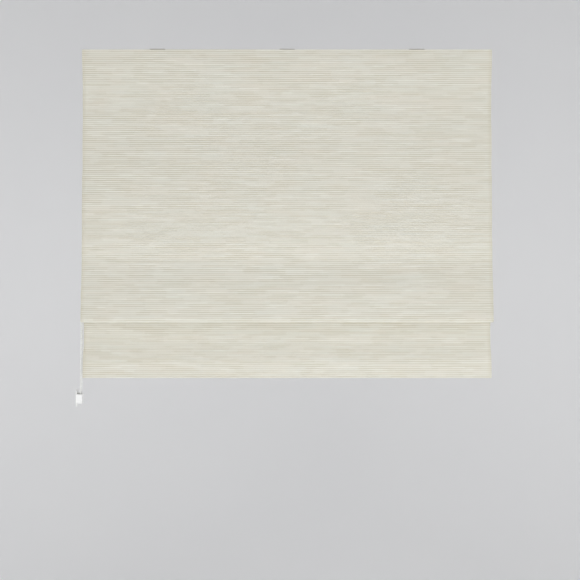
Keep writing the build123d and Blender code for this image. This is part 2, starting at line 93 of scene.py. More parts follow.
# ---- the cloths ----
FACE = 0.9 * MM  # thickness of the face fabric in the CAD model, on the room side of the cloth's line
FACE_SHEET = 0.7 * MM
LINING_SHEET = 0.4 * MM
LINING_OFFSET = 0.55 * MM  # middle of the lining, on the window side of the line
TAPE_OFFSET = 1.1 * MM  # where the tapes and the sleeve start
HEM_WIDTH = 30 * MM  # each side hem
BOTTOM_HEM = 24 * MM
FOOT_STRAIGHT = 50 * MM  # the skirt's foot hangs straight over the bottom bar
FOLD_HANG = 182 * MM  # from the middle rod to the fold's foot
TURN_R = 2.5 * MM  # of the line over the top of the skirt
HEM_Y = -4 * MM
ROW = 6 * MM  # the longest step along the line
COLUMN = 11 * MM  # the longest step across the face
half_width = face_high.x
top_z = face_high.z
hem_z = face_low.z
rail_floor = rail_low.z
fold_z = middle_rod.z - FOLD_HANG
upper_y = upper_rod.y - pocket_r - TAPE_OFFSET
middle_y = middle_rod.y - pocket_r - TAPE_OFFSET
top_y = rail_low.y - 3.3 * MM
turn_z = lower_rod.z - pocket_r - 1.2 * MM
skirt_y = lower_rod.y + pocket_r - 2.1 * MM
skirt_top = turn_z - 30 * MM
skirt_run = skirt_top - (hem_z + FOOT_STRAIGHT)
bay = upper_rod.z - middle_rod.z

# The cloth's line in section: (y, z, radius of the bend there)
LINE = [
    (top_y, top_z, 0),  # down the headrail's front
    (top_y, rail_floor - 5 * MM, 0.2),
    (-2.5 * MM, top_z - 0.147, 0.3),
    (upper_y, upper_rod.z, 0.6),
    (-16 * MM, upper_rod.z - 0.49 * bay, 0.9),  # the second bay
    (-21 * MM, middle_rod.z + 0.06, 0.25),
    (middle_y, middle_rod.z, 0.06),
    (-19.2 * MM, middle_rod.z - 0.02, 0.06),  # the fold's front
    (-35 * MM, middle_rod.z - 0.47 * FOLD_HANG, 0.3),
    (-52 * MM, fold_z + FACE, 0.010),  # the fold's foot
    (-28 * MM, fold_z + FACE, 0.010),
    (skirt_y - 2 * TURN_R, middle_rod.z - 0.06, 0.08),  # back up to the lower rod
    (skirt_y - 2 * TURN_R, turn_z, TURN_R),
    (skirt_y, turn_z, TURN_R),
    (skirt_y, skirt_top, 0.06),  # the skirt
    (11 * MM, skirt_top - 0.52 * skirt_run, 0.2),
    (7 * MM, skirt_top - 0.79 * skirt_run, 0.15),
    (HEM_Y, hem_z + FOOT_STRAIGHT, 0.08),
    (HEM_Y, hem_z, 0),
]


def rounded(line):
    """Rows of the section, (y, z), with an arc at each inner point of the line, and no two rows far apart."""
    points = [np.array(p[:2]) for p in line]
    rows = [points[0]]
    for i in range(1, len(points) - 1):
        before = points[i - 1] - points[i]
        after = points[i + 1] - points[i]
        room = 0.499 * min(np.linalg.norm(before), np.linalg.norm(after))
        before = before / np.linalg.norm(before)
        after = after / np.linalg.norm(after)
        half_turn = (math.pi - math.acos(np.clip(before @ after, -1, 1))) / 2
        radius = min(line[i][2], room / math.tan(half_turn))
        reach = radius * math.tan(half_turn)
        center = points[i] + (before + after) / np.linalg.norm(before + after) * radius / math.cos(half_turn)
        start = points[i] + before * reach - center
        turn = math.copysign(2 * half_turn, before[1] * after[0] - before[0] * after[1])
        steps = max(2, math.ceil(2 * half_turn / math.radians(11)), math.ceil(2 * half_turn * radius / ROW))
        rows.extend(straight(rows[-1], center + start))
        for k in range(1, steps + 1):
            angle = turn * k / steps
            cosine, sine = math.cos(angle), math.sin(angle)
            y = start[0] * cosine - start[1] * sine
            z = start[0] * sine + start[1] * cosine
            rows.append(center + np.array([y, z]))
    rows.extend(straight(rows[-1], points[-1]))
    return np.array(rows)


def straight(start, end):
    """Rows of a straight stretch, without its first point."""
    steps = max(1, math.ceil(np.linalg.norm(end - start) / ROW))
    return [start + (end - start) * k / steps for k in range(1, steps + 1)]


ROWS = rounded(LINE)
LENGTHS = np.concatenate([[0], np.cumsum(np.linalg.norm(np.diff(ROWS, axis=0), axis=1))])
slopes = np.gradient(ROWS, LENGTHS, axis=0)
slopes /= np.linalg.norm(slopes, axis=1)[:, None]
OUTWARD = np.stack([-slopes[:, 1], slopes[:, 0]], axis=1)  # towards the window where the line runs down


def row_near(z, low, high):
    """The row nearest to a height, among the rows between two lengths along the line."""
    inside = (LENGTHS >= low) & (LENGTHS <= high)
    return int(np.argmin(np.where(inside, np.abs(ROWS[:, 1] - z), 9)))


BEFORE_SKIRT = 0.9  # a length along the line that is past the fold and short of the skirt's foot
fold_row = int(np.argmin(np.where(LENGTHS < BEFORE_SKIRT, ROWS[:, 1], 0)))
upper_row = row_near(upper_rod.z, 0.2, 0.4)
middle_row = row_near(middle_rod.z, 0.5, 0.7)
bay_row = (upper_row + middle_row) // 2
rising = (LENGTHS > LENGTHS[fold_row]) & (LENGTHS < LENGTHS[fold_row] + 0.2)
crest_row = int(np.argmax(np.where(rising, ROWS[:, 1], -9)))
turn_row = crest_row - 2
crease_row = row_near(turn_z - 20 * MM, LENGTHS[fold_row], LENGTHS[turn_row])


def phases(waves):
    """Waves with their heights in metres and a random phase each."""
    return [(height * MM, *steps, RNG.uniform(0, 2 * math.pi)) for height, *steps in waves]


HELD = [LENGTHS[r] for r in (upper_row, middle_row, crest_row)]
# Waves as (height in mm, waves' steps): out of the line, along the fold's foot, and down each side
HANG_WAVES = phases([(0.9, 3.1, 9.0), (0.6, 7.7, -4.0), (0.5, 11.3, 15.0), (0.35, 19.0, 6.0)])
EDGE_WAVES = phases([(0.7, 5.0), (0.45, 13.0), (0.3, 29.0)])
SIDE_WAVES = phases([(0.6, 21.0), (0.35, 57.0), (0.2, 130.0)])
SWAY_START = 0.52  # the sides sway outside this x
CURL_WIDTH = 14 * MM
HOLD_REACH = 0.05  # how far along the cloth a rod or the rail still holds it flat


def wave_at(xs, length):
    """How far the cloth hangs out of its line, how far up, and how far aside, along one row."""
    held = min([length, *(abs(length - s) for s in HELD), abs(length - LENGTHS[-1]) + 0.02])
    free = 1 - math.exp(-((max(0, held - 0.015) / HOLD_REACH) ** 2))
    out = sum(a * np.sin(kx * xs + ks * length + phase) for a, kx, ks, phase in HANG_WAVES) * free
    near_edge = np.clip((np.abs(xs) - SWAY_START) / (half_width - SWAY_START), 0, 1) ** 2
    curl = np.clip((np.abs(xs) - half_width + CURL_WIDTH) / CURL_WIDTH, 0, 1) ** 2
    out = out + (1.6 * near_edge + 1.5 * curl) * MM * free
    pull = sum(a * math.sin(k * length + phase) for a, k, phase in SIDE_WAVES) * free - 0.8 * MM * free
    aside = np.sign(xs) * pull * near_edge
    at_fold = math.exp(-(((length - LENGTHS[fold_row]) / 0.03) ** 2))
    up = sum(a * np.sin(k * xs + phase) for a, k, phase in EDGE_WAVES) * at_fold
    dimple = 0.2 * MM * sum(math.exp(-(((length - s) / 0.004) ** 2)) for s in HELD[:2])
    return out + dimple, up, aside


class Grid:
    """A sheet's middle surface and its outward directions, row by row."""

    def __init__(self):
        self.points, self.normals = [], []

    def add_row(self, row, columns):
        """columns are (x, offset from the line, normal's x, normal's part across the line)."""
        x, offset, normal_x, normal_out = np.array(columns).T
        y, z = ROWS[row]
        out_y, out_z = OUTWARD[row]
        wave, up, aside = wave_at(x, LENGTHS[row])
        across = offset + wave
        self.points.append(np.stack([x + aside, y + across * out_y, z + across * out_z + up], axis=1))
        self.normals.append(np.stack([normal_x, normal_out * out_y, normal_out * out_z], axis=1))


def sheet_parts(grid, thickness):
    """Points and faces of a closed sheet round a grid's middle surface."""
    points, normals = np.array(grid.points), np.array(grid.normals)
    rows, columns = points.shape[:2]
    outer = (points + normals * thickness / 2).reshape(-1, 3)
    inner = (points - normals * thickness / 2).reshape(-1, 3)
    index = np.arange(rows * columns).reshape(rows, columns)
    quads = np.stack([index[:-1, :-1], index[:-1, 1:], index[1:, 1:], index[1:, :-1]], axis=-1)
    quads = quads.reshape(-1, 4)
    count = rows * columns
    rim = np.concatenate([index[0, :], index[1:, -1], index[-1, -2::-1], index[-2:0:-1, 0]])
    after = np.roll(rim, -1)
    sides = np.stack([after, rim, rim + count, after + count], axis=-1)
    return np.concatenate([outer, inner]), np.concatenate([quads, quads[:, ::-1] + count, sides])


def mesh_object(name, parts, materials, sharp=35):
    """One object from several (vertices, faces, material index) parts."""
    vertices, faces, indices, start = [], [], [], 0
    for points, polygons, index in parts:
        vertices.append(points)
        faces.extend((np.asarray(p) + start).tolist() for p in polygons)
        indices.extend([index] * len(polygons))
        start += len(points)
    mesh = bpy.data.meshes.new(name)
    mesh.from_pydata(np.concatenate(vertices).tolist(), [], faces)
    for material in materials:
        mesh.materials.append(material)
    mesh.polygons.foreach_set("material_index", indices)
    mesh.polygons.foreach_set("use_smooth", [True] * len(faces))
    mesh.update()
    mesh.set_sharp_from_angle(angle=math.radians(sharp))
    made = bpy.data.objects.new(name, mesh)
    bpy.context.scene.collection.objects.link(made)
    return made


# ---- materials ----
def add(tree, kind, inputs=None, **settings):
    """A node with its settings, and its inputs as values or as other nodes' outputs."""
    made = tree.nodes.new(kind)
    for key, value in settings.items():
        setattr(made, key, value)
    for key, value in (inputs or {}).items():
        if isinstance(value, bpy.types.NodeSocket):
            tree.links.new(value, made.inputs[key])
        else:
            made.inputs[key].default_value = value
    return made


def calc(tree, operation, *values):
    """One Math node's output."""
    made = add(tree, "ShaderNodeMath", dict(enumerate(values)), operation=operation)
    return made.outputs[0]


def remap(tree, value, low, high, to_low=0.0, to_high=1.0, smooth=False):
    """A value carried from one range to another, and held at its ends."""
    inputs = {"Value": value, "From Min": low, "From Max": high, "To Min": to_low, "To Max": to_high}
    kind = "SMOOTHSTEP" if smooth else "LINEAR"
    return add(tree, "ShaderNodeMapRange", inputs, interpolation_type=kind).outputs["Result"]


def times(tree, value, factor):
    return calc(tree, "MULTIPLY", value, factor)


def noise(tree, x, y, z, scale=1.0, detail=2.0):
    vector = add(tree, "ShaderNodeCombineXYZ", {"X": x, "Y": y, "Z": z}).outputs[0]
    inputs = {"Vector": vector, "Scale": scale, "Detail": detail}
    return add(tree, "ShaderNodeTexNoise", inputs).outputs["Fac"]


def blend_colour(tree, factor, first, second):
    made = add(tree, "ShaderNodeMix", {0: factor}, data_type="RGBA")
    for key, value in ((6, first), (7, second)):
        if isinstance(value, bpy.types.NodeSocket):
            tree.links.new(value, made.inputs[key])
        else:
            made.inputs[key].default_value = (*value, 1)
    return made.outputs[2]


def start_material(name, **constants):
    """A Principled material with its constant inputs, and the place in the object as x, y and z outputs."""
    material = bpy.data.materials.new(name)
    material.use_nodes = True
    tree = material.node_tree
    shader = tree.nodes["Principled BSDF"]
    for key, value in constants.items():
        shader.inputs[key.replace("_", " ")].default_value = value
    place = add(tree, "ShaderNodeTexCoord").outputs["Object"]
    split = add(tree, "ShaderNodeSeparateXYZ", {0: place})
    return material, tree, shader, split.outputs


def bump(tree, shader, height, distance, strength=1.0):
    made = add(tree, "ShaderNodeBump", {"Height": height, "Distance": distance, "Strength": strength})
    tree.links.new(made.outputs[0], shader.inputs["Normal"])


RIB = 5.9 * MM  # from one rib to the next, up the cloth
WARP_PITCH = 0.9 * MM
WARM_YARN = (0.735, 0.700, 0.605)
COOL_YARN = (0.722, 0.709, 0.622)
LIGHT_YARN = (0.86, 0.85, 0.765)
# The grooves' tan and olive yarn, darkened further with painted shade
GROOVE_YARN_AND_SHADE = (0.50, 0.455, 0.33)
EDGE_SHADE_BAND = 15 * MM  # painted shade: the doubled side hems are darkened as if less back light came through them
# Colour of the painted shade at the side edges
EDGE_SHADE_TONE = (0.58, 0.54, 0.41)
THIN_CLOTH = {"Subsurface_Weight": 0.3, "Subsurface_Radius": (1.0, 0.95, 0.85), "Subsurface_Scale": 3 * MM}


def slub_colour(tree, x, z, along, groove, lit):
    """Warm and cool yarn in patches, light slubs, grooves darkened with tan and olive yarn and painted shade,
    and painted shade at the turned edges.
    """
    patch = noise(tree, times(tree, x, 7.0), 2.0, times(tree, z, 16.0), detail=1.0)
    patch = calc(tree, "MULTIPLY_ADD", along(9.0, 1.3, 0.93), 0.5, times(tree, patch, 0.5))
    yarn = blend_colour(tree, remap(tree, patch, 0.36, 0.64), WARM_YARN, COOL_YARN)
    yarn = blend_colour(tree, times(tree, lit, 0.5), yarn, LIGHT_YARN)
    # Painted shade together with the yarn's own tan and olive: the grooves between the ribs are darkened
    colour = blend_colour(tree, times(tree, groove, 0.9), yarn, GROOVE_YARN_AND_SHADE)
    aside = calc(tree, "ABSOLUTE", x)
    # Painted shade: darker towards the side edges, where the doubled hems would let less back light through
    edge_shade = remap(tree, aside, half_width - EDGE_SHADE_BAND, half_width - 2 * MM, 0.0, 0.34, smooth=True)
    return blend_colour(tree, edge_shade, colour, EDGE_SHADE_TONE)


def slub_cloth():
    """Cream slub weave: fine uneven ribs across the cloth, with broken tan and olive lines between them,
    their yarn colour deepened by painted shade.
    """
    material, tree, shader, (x, y, z) = start_material(
        "face_slub", Roughness=0.9, Sheen_Weight=0.1, **THIN_CLOTH
    )
    waver = noise(tree, times(tree, x, 0.7), 0.0, times(tree, z, 40.0))
    line = calc(tree, "MULTIPLY_ADD", z, 1 / RIB, times(tree, waver, 1.1))
    rib = calc(tree, "FLOOR", line)
    part = calc(tree, "FRACT", line)
    edge = calc(tree, "ABSOLUTE", calc(tree, "MULTIPLY_ADD", part, 2.0, -1.0))

    def along(repeats, seed, step, detail=2.0):
        """Noise that runs along each rib and changes from one rib to the next."""
        return noise(tree, times(tree, x, repeats), times(tree, rib, step), seed, detail=detail)

    broken = remap(tree, along(10.0, 3.7, 1.731, 1.0), 0.485, 0.515)
    depth = remap(tree, along(8.0, 8.3, 1.377), 0.3, 0.7, 0.22, 0.5)
    strength = calc(tree, "MULTIPLY_ADD", broken, 0.45, depth)
    groove = calc(tree, "MULTIPLY", remap(tree, edge, 0.3, 0.95, smooth=True), strength)
    slub = remap(tree, along(9.0, 5.9, 1.913, 1.0), 0.57, 0.61)
    lit = calc(tree, "MULTIPLY", remap(tree, edge, 0.6, 0.1, smooth=True), slub)
    colour = slub_colour(tree, x, z, along, groove, lit)
    tree.links.new(colour, shader.inputs["Base Color"])
    fine = calc(tree, "SINE", times(tree, line, 4 * 2 * math.pi))
    swell = along(28.0, 6.1, 2.377, 1.0)
    warp = calc(tree, "SINE", times(tree, x, 2 * math.pi / WARP_PITCH))
    height = calc(tree, "MULTIPLY_ADD", calc(tree, "MULTIPLY", warp, fine), 0.1, times(tree, swell, 1.6))
    height = calc(tree, "SUBTRACT", height, calc(tree, "MULTIPLY_ADD", fine, 0.08, groove))
    bump(tree, shader, height, 0.3 * MM, 0.8)
    return material


def plain_cloth(name, colour, shade, threads, relief, roughness=0.9, **constants):
    """A fine plain weave: the two thread directions cross in the bump, and the tone drifts a little."""
    material, tree, shader, (x, y, z) = start_material(
        name, Roughness=roughness, Sheen_Weight=0.1, **constants
    )
    drift = noise(tree, times(tree, x, 14.0), times(tree, y, 14.0), times(tree, z, 30.0))
    colour = blend_colour(tree, remap(tree, drift, 0.3, 0.7), shade, colour)
    tree.links.new(colour, shader.inputs["Base Color"])
    warp = calc(tree, "SINE", calc(tree, "MULTIPLY", x, threads))
    weft = calc(tree, "SINE", calc(tree, "MULTIPLY", calc(tree, "ADD", z, y), threads))
    bump(tree, shader, calc(tree, "MULTIPLY", warp, weft), relief)
    return material


def moulded(name, colour, roughness, grain=0.02, **constants):
    """Moulded plastic with a faint mottle in its gloss and a very fine skin."""
    material, tree, shader, (x, y, z) = start_material(name, **constants)
    mottle = noise(tree, x, y, z, scale=90.0)
    gloss = remap(tree, mottle, 0.3, 0.7, roughness - 0.06, roughness + 0.06)
    tree.links.new(gloss, shader.inputs["Roughness"])
    darker = tuple(0.94 * part for part in colour)
    tone = blend_colour(tree, remap(tree, mottle, 0.35, 0.65), darker, colour)
    tree.links.new(tone, shader.inputs["Base Color"])
    skin = noise(tree, x, y, z, scale=1600.0)
    bump(tree, shader, skin, grain * MM)
    return material


def metal(name, colour, roughness, streak, metallic=1.0, **constants):
    """Drawn or rolled metal: fine streaks along X in its roughness and bump."""
    material, tree, shader, (x, y, z) = start_material(name, Metallic=metallic, **constants)
    lines = noise(tree, times(tree, x, 12.0), times(tree, y, 900.0), times(tree, z, 900.0))
    gloss = remap(tree, lines, 0.3, 0.7, roughness - streak, roughness + streak)
    tree.links.new(gloss, shader.inputs["Roughness"])
    darker = tuple(0.9 * part for part in colour)
    tone = blend_colour(tree, remap(tree, lines, 0.3, 0.7), darker, colour)
    tree.links.new(tone, shader.inputs["Base Color"])
    bump(tree, shader, lines, 0.02 * MM)
    return material


def pile_tape():
    """Hook and loop tape: a dense, soft pile."""
    material, tree, shader, (x, y, z) = start_material("pile_tape", Roughness=0.95, Sheen_Weight=0.3)
    place = add(tree, "ShaderNodeCombineXYZ", {"X": x, "Y": y, "Z": z}).outputs[0]
    tufts = add(tree, "ShaderNodeTexVoronoi", {"Vector": place, "Scale": 900.0}).outputs["Distance"]
    tone = blend_colour(tree, remap(tree, tufts, 0.0, 0.7), (0.86, 0.86, 0.84), (0.62, 0.62, 0.60))
    tree.links.new(tone, shader.inputs["Base Color"])
    bump(tree, shader, calc(tree, "MULTIPLY", tufts, -1.0), 0.5 * MM)
    return material


def braid():
    """A fine braided cord: its strands cross in two slants along the cord."""
    material, tree, shader, (x, y, z) = start_material("lift_braid", Roughness=0.6, Sheen_Weight=0.15)
    slant = times(tree, calc(tree, "ADD", x, y), 2600.0)
    up = times(tree, z, 2600.0)
    right = calc(tree, "SINE", calc(tree, "ADD", up, slant))
    left = calc(tree, "SINE", calc(tree, "SUBTRACT", up, slant))
    strands = calc(tree, "MULTIPLY", right, left)
    tone = blend_colour(tree, remap(tree, strands, -1.0, 1.0), (0.66, 0.66, 0.63), (0.88, 0.88, 0.85))
    tree.links.new(tone, shader.inputs["Base Color"])
    bump(tree, shader, strands, 0.15 * MM)
    return material


def pultruded():
    """Glass-fibre rod: pale, with long fine fibres."""
    material, tree, shader, (x, y, z) = start_material("pultruded", Roughness=0.35, Coat_Weight=0.2)
    fibres = noise(tree, times(tree, x, 30.0), times(tree, y, 3000.0), times(tree, z, 3000.0))
    tone = blend_colour(tree, remap(tree, fibres, 0.35, 0.65), (0.70, 0.71, 0.62), (0.86, 0.87, 0.80))
    tree.links.new(tone, shader.inputs["Base Color"])
    bump(tree, shader, fibres, 0.03 * MM)
    return material


slub = slub_cloth()
lining_weave = plain_cloth(
    "lining_weave", (0.84, 0.84, 0.81), (0.80, 0.80, 0.77), 9000.0, 0.06 * MM, **THIN_CLOTH
)
tape_weave = plain_cloth("tape_weave", (0.86, 0.86, 0.84), (0.80, 0.80, 0.78), 5200.0, 0.12 * MM)
thread = plain_cloth("sewing_thread", (0.88, 0.87, 0.83), (0.80, 0.79, 0.75), 14000.0, 0.05 * MM, 0.6)
white_plastic = moulded("white_plastic", (0.83, 0.83, 0.81), 0.34)
natural_plastic = moulded("natural_nylon", (0.78, 0.77, 0.72), 0.48, Subsurface_Weight=0.08)
chain_plastic = moulded("bead_plastic", (0.84, 0.84, 0.81), 0.28)
clear_plastic = moulded(
    "clear_plastic", (0.90, 0.92, 0.92), 0.16, grain=0.01, Transmission_Weight=0.75, IOR=1.49
)
rail_paint = metal("rail_paint", (0.80, 0.80, 0.79), 0.36, 0.05, metallic=0.0, Coat_Weight=0.15)
bracket_paint = metal("bracket_paint", (0.78, 0.78, 0.77), 0.40, 0.06, metallic=0.0, Coat_Weight=0.1)
steel = metal("bright_steel", (0.62, 0.62, 0.63), 0.28, 0.08)
aluminium = metal("mill_aluminium", (0.72, 0.72, 0.73), 0.38, 0.10)

CAD_MATERIALS = {
    "lining_cloth": tape_weave,
    "face_cloth": slub,
    "tape": pile_tape(),
    "cord": braid(),
    "rail_paint": rail_paint,
    "bracket_steel": bracket_paint,
    "bright_steel": steel,
    "bare_aluminium": aluminium,
    "white_plastic": white_plastic,
    "natural_plastic": natural_plastic,
    "chain_plastic": chain_plastic,
    "clear_plastic": clear_plastic,
    "glass_fibre": pultruded(),
}
for part in frame["record"]["subparts"]:
    node = NODES[part["node"]]
    for finish in node.material_slots:
        finish.material = CAD_MATERIALS[part["material_slot"]]
    node.data.polygons.foreach_set("use_smooth", [True] * len(node.data.polygons))
    node.data.set_sharp_from_angle(angle=math.radians(30))


# ---- face fabric ----
WRAP_R = 0.45 * MM  # the face's middle turns round this at its side hems
HEM_COLUMNS = 10
edge_x = half_width - WRAP_R - FACE_SHEET / 2


def face_columns():
    """The face's columns, from one side hem's inner edge round the front to the other's."""
    inner = [edge_x - HEM_WIDTH * k / HEM_COLUMNS for k in range(HEM_COLUMNS, 0, -1)]
    wrap = [(math.cos(a), math.sin(a)) for a in np.radians([90, 45, 0, -45, -90])]
    right = [(x, WRAP_R, 0.0, 1.0) for x in inner]
    right += [(edge_x + WRAP_R * c, WRAP_R * s, c, s) for c, s in wrap]
    broad = edge_x - HEM_WIDTH
    fine = np.linspace(edge_x, broad, HEM_COLUMNS + 1)[1:]
    coarse = np.linspace(broad, -broad, math.ceil(2 * broad / COLUMN) + 1)[1:-1]
    front = [*fine, *coarse, *-fine[::-1]]
    left = [(-x, offset, -normal_x, out) for x, offset, normal_x, out in reversed(right)]
    return right + [(x, -WRAP_R, 0.0, -1.0) for x in front] + left


def face_piece(first, last):
    grid = Grid()
    columns = face_columns()
    for row in range(first, last + 1):
        grid.add_row(row, columns)
    return grid


def hem_mitre(grid, first, last):
    """Shortens the side hems where the foot hangs straight, to meet the bottom hem at 45 degrees."""
    for k, row in enumerate(range(first, last + 1)):
        share = np.clip(1 - (ROWS[row][1] - hem_z) / FOOT_STRAIGHT, 0, 1)
        points = grid.points[k]
        for column in [*range(HEM_COLUMNS), *range(-HEM_COLUMNS, 0)]:
            points[column, 2] += share * (edge_x - abs(points[column, 0]))


def bottom_hem():
    """The turned-up strip at the skirt's foot, from the face's lowest row round to the back and up."""
    grid = Grid()
    foot = ROWS[-1][1] + WRAP_R
    xs = np.linspace(edge_x, -edge_x, math.ceil(2 * edge_x / COLUMN) + 1)
    for a in np.radians([-90, -60, -30, 0, 30, 60, 90]):
        y, z = HEM_Y + WRAP_R * math.sin(a), foot - WRAP_R * math.cos(a)
        grid.points.append(np.stack([xs, np.full_like(xs, y), np.full_like(xs, z)], axis=1))
        grid.normals.append(np.tile([0.0, math.sin(a), -math.cos(a)], (len(xs), 1)))
    for k in range(1, 5):
        rise = BOTTOM_HEM * k / 4
        inset = xs * (edge_x - rise) / edge_x
        y, z = np.full_like(xs, HEM_Y + WRAP_R), np.full_like(xs, foot + rise)
        grid.points.append(np.stack([inset, y, z], axis=1))
        grid.normals.append(np.tile([0.0, 1.0, 0.0], (len(xs), 1)))
    return grid


PIECES = {
    "top_bay": (0, upper_row),
    "second_bay": (upper_row, bay_row),
    "second_bay_foot": (bay_row, middle_row),
    "fold_front": (middle_row, fold_row),
    "fold_back": (fold_row, crease_row),
    "crease": (crease_row, turn_row),
    "skirt": (turn_row, len(ROWS) - 1),
}


def follow(piece, part):
    """Bakes a piece's place into its mesh, or hangs the skirt on the lower rod's body."""
    if part == "top_bay":
        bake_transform(piece)
    elif part == "second_bay":
        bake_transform(piece)
    elif part == "second_bay_foot":
        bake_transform(piece)
    elif part == "fold_front":
        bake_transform(piece)
    elif part == "fold_back":
        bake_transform(piece)
    elif part == "crease":
        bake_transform(piece)
    else:
        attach(piece, "lower_rod")


for part, (first, last) in PIECES.items():
    grid = face_piece(first, last)
    sheets = [grid]
    if part == "skirt":
        hem_mitre(grid, first, last)
        sheets.append(bottom_hem())
    piece = mesh_object(f"face_{part}", [(*sheet_parts(g, FACE_SHEET), 0) for g in sheets], [slub])
    follow(piece, part)
    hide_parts("face_fabric")

# ---- lining ----
LINING_LAP = 8 * MM  # how far the lining lies over each side hem
FOOT_LAP = 6 * MM
HEM_STEP = 0.65 * MM  # how much further out the lining lies over a hem
lining_half = lining_high.x + LINING_LAP
lining_end = row_near(lining_low.z - 5 * MM, BEFORE_SKIRT, LENGTHS[-1])
past_crest = turn_row + 20


def lining_grid(first, last):
    grid = Grid()
    xs = np.linspace(lining_half, -lining_half, math.ceil(2 * lining_half / (1.6 * COLUMN)) + 1)
    over_side = np.clip((np.abs(xs) - (edge_x - HEM_WIDTH - LINING_LAP)) / LINING_LAP, 0, 1)
    for row in range(first, last + 1):
        over_foot = 0
        if row > past_crest:
            over_foot = np.clip(1 - (ROWS[row][1] - (hem_z + BOTTOM_HEM)) / FOOT_LAP, 0, 1)
        offset = LINING_OFFSET + HEM_STEP * np.maximum(over_side, over_foot)
        grid.add_row(row, [(x, o, 0.0, 1.0) for x, o in zip(xs, offset)])
    return grid


def stitch(start, end, r):
    """One visible stitch, a thread that dips into the cloth at both ends."""
    along = end - start
    length = np.linalg.norm(along)
    along = along / length
    side = np.cross(along, [0.0, 1.0, 0.0])
    side = side / np.linalg.norm(side)
    up = np.cross(side, along)
    rings = []
    quarters = np.radians([0, 90, 180, 270])
    for share in (0.25, 0.75):
        center = start + along * length * share
        rings.extend(center + r * (side * math.cos(a) + up * math.sin(a)) for a in quarters)
    points = np.array([start, end, *rings])
    faces = []
    for k in range(4):
        a, b = 2 + k, 2 + (k + 1) % 4
        faces += [[0, b, a], [a, b, b + 4, a + 4], [1, a + 4, b + 4]]
    return points, faces


def joined(parts):
    """Many small parts as one."""
    points, faces, start = [], [], 0
    for vertices, polygons in parts:
        points.append(vertices)
        faces.extend([[v + start for v in p] for p in polygons])
        start += len(vertices)
    return np.concatenate(points), faces


SLIP_PITCH = 11 * MM
HAND_THREAD_R = 0.22 * MM


def slip_stitches(first, last):
    """Slanting hand stitches that hold the lining's sides to the side hems."""
    made = []
    for length in np.arange(LENGTHS[first] + 4 * MM, LENGTHS[last] - 3 * MM, SLIP_PITCH):
        y, z = (np.interp(length, LENGTHS, ROWS[:, k]) for k in (0, 1))
        out = np.array([np.interp(length, LENGTHS, OUTWARD[:, k]) for k in (0, 1)])
        for side in (-1, 1):
            wave, up, aside = wave_at(np.array([side * lining_half]), length)
            lift = LINING_OFFSET + 0.9 * MM + wave[0]
            edge = side * (lining_half - 1.2 * MM) + aside[0]
            a = np.array([edge, y + lift * out[0], z + lift * out[1] + up[0]])
            b = a + [side * 2.4 * MM, -0.35 * MM * out[0], -1.6 * MM]
            made.append(stitch(a, b, HAND_THREAD_R))
    return joined(made)


for part, (first, last) in PIECES.items():
    last = min(last, lining_end)
    parts = [(*sheet_parts(lining_grid(first, last), LINING_SHEET), 0), (*slip_stitches(first, last), 1)]
    piece = mesh_object(f"lining_{part}", parts, [lining_weave, thread])
    follow(piece, part)
    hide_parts("lining")


# ---- machine stitching on the rod tapes ----
MACHINE_PITCH = 3.4 * MM
MACHINE_THREAD_R = 0.24 * MM


def stitch_row(x_low, x_high, y, z):
    """One row of machine stitches along X."""
    xs = np.arange(x_low, x_high - MACHINE_PITCH, MACHINE_PITCH)
    reach = 0.72 * MACHINE_PITCH
    return [stitch(np.array([x, y, z]), np.array([x + reach, y, z]), MACHINE_THREAD_R) for x in xs]


for name, up in (("upper", 1), ("middle", 1), ("lower", -1)):
    low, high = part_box(f"rod_tape_{name}")
    axis = {"upper": upper_rod, "middle": middle_rod, "lower": lower_rod}[name]
    strip_back = axis.y - pocket_r + 1.1 * MM if up > 0 else axis.y + pocket_r + 0.1 * MM
    far_z = high.z - 2 * MM if up > 0 else low.z + 2 * MM
    near_z = axis.z + up * (pocket_r + 1.6 * MM)
    rows = [s for z in (far_z, near_z) for s in stitch_row(low.x + 2 * MM, high.x - 2 * MM, strip_back, z)]
    seam = mesh_object(f"tape_stitching_{name}", [(*joined(rows), 0)], [thread])
    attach(seam, f"{name}_rod")


# ---- lift cords ----
CORD_R = 0.7 * MM
RING_R = 6 * MM
LEAN = 1.2 * MM  # how far above a ring's middle the cord bears on it
WIND_R = 9.0 * MM  # of a wound turn's middle
WIND_PITCH = 1.55 * MM
WIND_TURNS = 8
nozzle_y = shaft.y + 4.5 * MM
ring_y = {name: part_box(f"cord_rings_{name}")[1].y - RING_R for name in ("upper", "middle", "lower")}


def tube(points, r, sides=10):
    """A round tube along points, closed at both ends."""
    points = np.array(points, float)
    tangents = np.gradient(points, axis=0)
    tangents /= np.linalg.norm(tangents, axis=1)[:, None]
    side = np.cross(tangents[0], [1.0, 0.0, 0.0])
    if np.linalg.norm(side) < 0.1:
        side = np.cross(tangents[0], [0.0, 1.0, 0.0])
    rings = []
    turns = np.linspace(0, 2 * math.pi, sides, False)
    for point, tangent in zip(points, tangents):
        side = side - tangent * (side @ tangent)
        side = side / np.linalg.norm(side)
        up = np.cross(tangent, side)
        rings.append([point + r * (side * math.cos(a) + up * math.sin(a)) for a in turns])
    vertices = np.array(rings).reshape(-1, 3)
    faces = []
    for i in range(len(points) - 1):
        for k in range(sides):
            a, b = i * sides + k, i * sides + (k + 1) % sides
            faces.append([a, b, b + sides, a + sides])
    end = (len(points) - 1) * sides
    return vertices, [*faces, list(range(sides))[::-1], [end + k for k in range(sides)]]


# The wound cord leaves its spool on the tangent to the nozzle's mouth
foot = np.array([nozzle_y - shaft.y, rail_floor - MM - shaft.z])
leaving = math.atan2(foot[1], foot[0]) + math.acos(WIND_R / np.linalg.norm(foot))
spool_exit = (shaft.y + WIND_R * math.cos(leaving), shaft.z + WIND_R * math.sin(leaving))


